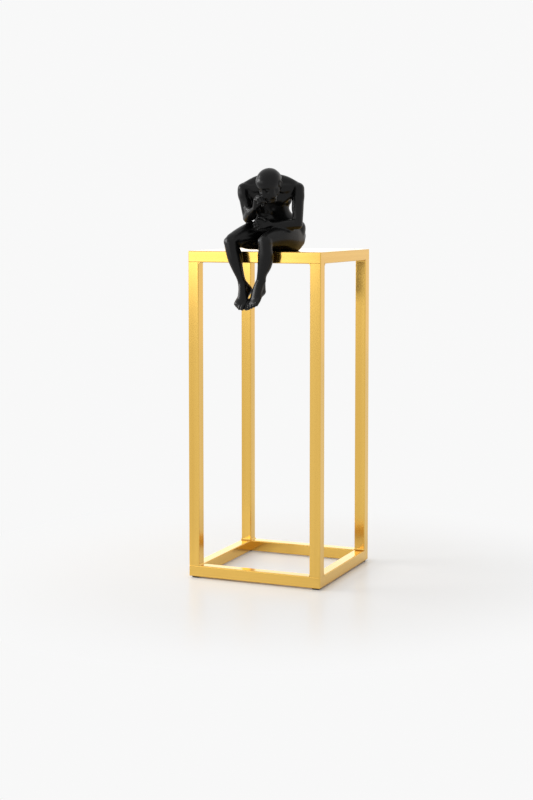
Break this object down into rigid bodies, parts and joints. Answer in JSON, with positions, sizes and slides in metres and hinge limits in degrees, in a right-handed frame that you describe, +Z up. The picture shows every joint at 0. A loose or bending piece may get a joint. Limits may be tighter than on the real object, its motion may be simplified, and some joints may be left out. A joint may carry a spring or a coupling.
{
  "type": "thinker statue",
  "caption": "Black seated figure deep in thought, its shins hanging over the edge of a tall open frame of gold square tube with a closed top.",
  "frame": {"origin": "middle of the square footprint, on the surface that the four pads stand on", "axes": "+Z up; the figure faces -Y, so the front of the frame is at -Y; +X is the viewer's right when facing the front and the figure's own left"},
  "size_m": [0.125, 0.1425, 0.3639],
  "materials": {
    "figure": "cast resin with a smooth satin black coat",
    "frame": "gold-plated steel, finely brushed along each bar, satin",
    "pad": "matt",
    "insert": "machined",
    "screw": "zinc-plated"
  },
  "bodies": {
    "root": {"figure": "figure", "top_front_rail": "frame", "top_back_rail": "frame", "top_left_rail": "frame", "top_right_rail": "frame", "bottom_front_rail": "frame", "bottom_back_rail": "frame", "bottom_left_rail": "frame", "bottom_right_rail": "frame", "front_left_post": "frame", "front_right_post": "frame", "back_left_post": "frame", "back_right_post": "frame", "top_plate": "frame", "front_left_pad": "pad", "front_right_pad": "pad", "back_left_pad": "pad", "back_right_pad": "pad", "seat_inserts": "insert", "seat_washers": "screw", "seat_screws": "screw"}
  },
  "joints": []
}
